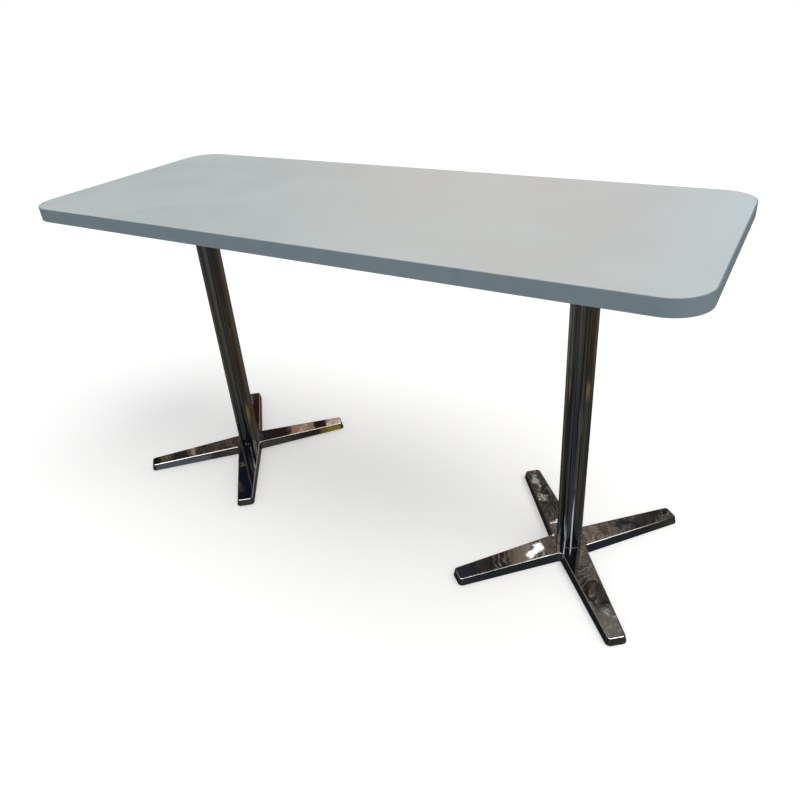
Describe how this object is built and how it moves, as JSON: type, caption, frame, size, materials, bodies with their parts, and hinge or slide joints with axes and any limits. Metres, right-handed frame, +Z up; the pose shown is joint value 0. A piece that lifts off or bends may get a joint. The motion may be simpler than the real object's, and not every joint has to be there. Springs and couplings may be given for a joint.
{
  "type": "canteen table",
  "caption": "Long narrow canteen table: rounded laminate top on two round columns with low cross feet and levelling glides.",
  "frame": {"origin": "on the floor, under the middle of the top", "axes": "+X along the top's length, +Y across it, +Z up; the glides' pads stand on z = 0"},
  "size_m": [1.4, 0.54, 0.74],
  "materials": {
    "top_laminate": "satin high-pressure laminate, pale grey",
    "edge_band": "satin plastic edge band, blue-grey",
    "backing_laminate": "matt balancing laminate",
    "particle_board": "raw particle board",
    "chrome_casting": "polished and chrome-plated casting",
    "chrome_tube": "bright chrome-plated tube",
    "black_casting": "black satin paint on a casting",
    "zinc_steel": "zinc-plated",
    "screw_steel": "yellow zinc-plated",
    "glide_nylon": "black nylon",
    "stud_steel": "zinc-plated thread"
  },
  "bodies": {
    "table": {"board_core": "particle_board", "top_laminate": "top_laminate", "backing_laminate": "backing_laminate", "edge_band": "edge_band", "left_foot": "chrome_casting", "left_column": "chrome_tube", "left_spider": "black_casting", "left_tie_rod": "zinc_steel", "left_rod_nuts": "zinc_steel", "left_rod_washers": "zinc_steel", "left_board_screws": "screw_steel", "right_foot": "chrome_casting", "right_column": "chrome_tube", "right_spider": "black_casting", "right_tie_rod": "zinc_steel", "right_rod_nuts": "zinc_steel", "right_rod_washers": "zinc_steel", "right_board_screws": "screw_steel"},
    "left_front_outer_glide": {"left_front_outer_pad": "glide_nylon", "left_front_outer_stud": "stud_steel"},
    "left_front_inner_glide": {"left_front_inner_pad": "glide_nylon", "left_front_inner_stud": "stud_steel"},
    "left_back_inner_glide": {"left_back_inner_pad": "glide_nylon", "left_back_inner_stud": "stud_steel"},
    "left_back_outer_glide": {"left_back_outer_pad": "glide_nylon", "left_back_outer_stud": "stud_steel"},
    "right_front_outer_glide": {"right_front_outer_pad": "glide_nylon", "right_front_outer_stud": "stud_steel"},
    "right_front_inner_glide": {"right_front_inner_pad": "glide_nylon", "right_front_inner_stud": "stud_steel"},
    "right_back_inner_glide": {"right_back_inner_pad": "glide_nylon", "right_back_inner_stud": "stud_steel"},
    "right_back_outer_glide": {"right_back_outer_pad": "glide_nylon", "right_back_outer_stud": "stud_steel"}
  },
  "joints": [
    {"name": "left_front_outer_glide_height", "type": "slide", "parent": "table", "child": "left_front_outer_glide", "axis": [0, 0, -1], "range_m": [0, 0.005]},
    {"name": "left_front_inner_glide_height", "type": "slide", "parent": "table", "child": "left_front_inner_glide", "axis": [0, 0, -1], "range_m": [0, 0.005]},
    {"name": "left_back_inner_glide_height", "type": "slide", "parent": "table", "child": "left_back_inner_glide", "axis": [0, 0, -1], "range_m": [0, 0.005]},
    {"name": "left_back_outer_glide_height", "type": "slide", "parent": "table", "child": "left_back_outer_glide", "axis": [0, 0, -1], "range_m": [0, 0.005]},
    {"name": "right_front_outer_glide_height", "type": "slide", "parent": "table", "child": "right_front_outer_glide", "axis": [0, 0, -1], "range_m": [0, 0.005]},
    {"name": "right_front_inner_glide_height", "type": "slide", "parent": "table", "child": "right_front_inner_glide", "axis": [0, 0, -1], "range_m": [0, 0.005]},
    {"name": "right_back_inner_glide_height", "type": "slide", "parent": "table", "child": "right_back_inner_glide", "axis": [0, 0, -1], "range_m": [0, 0.005]},
    {"name": "right_back_outer_glide_height", "type": "slide", "parent": "table", "child": "right_back_outer_glide", "axis": [0, 0, -1], "range_m": [0, 0.005]}
  ]
}
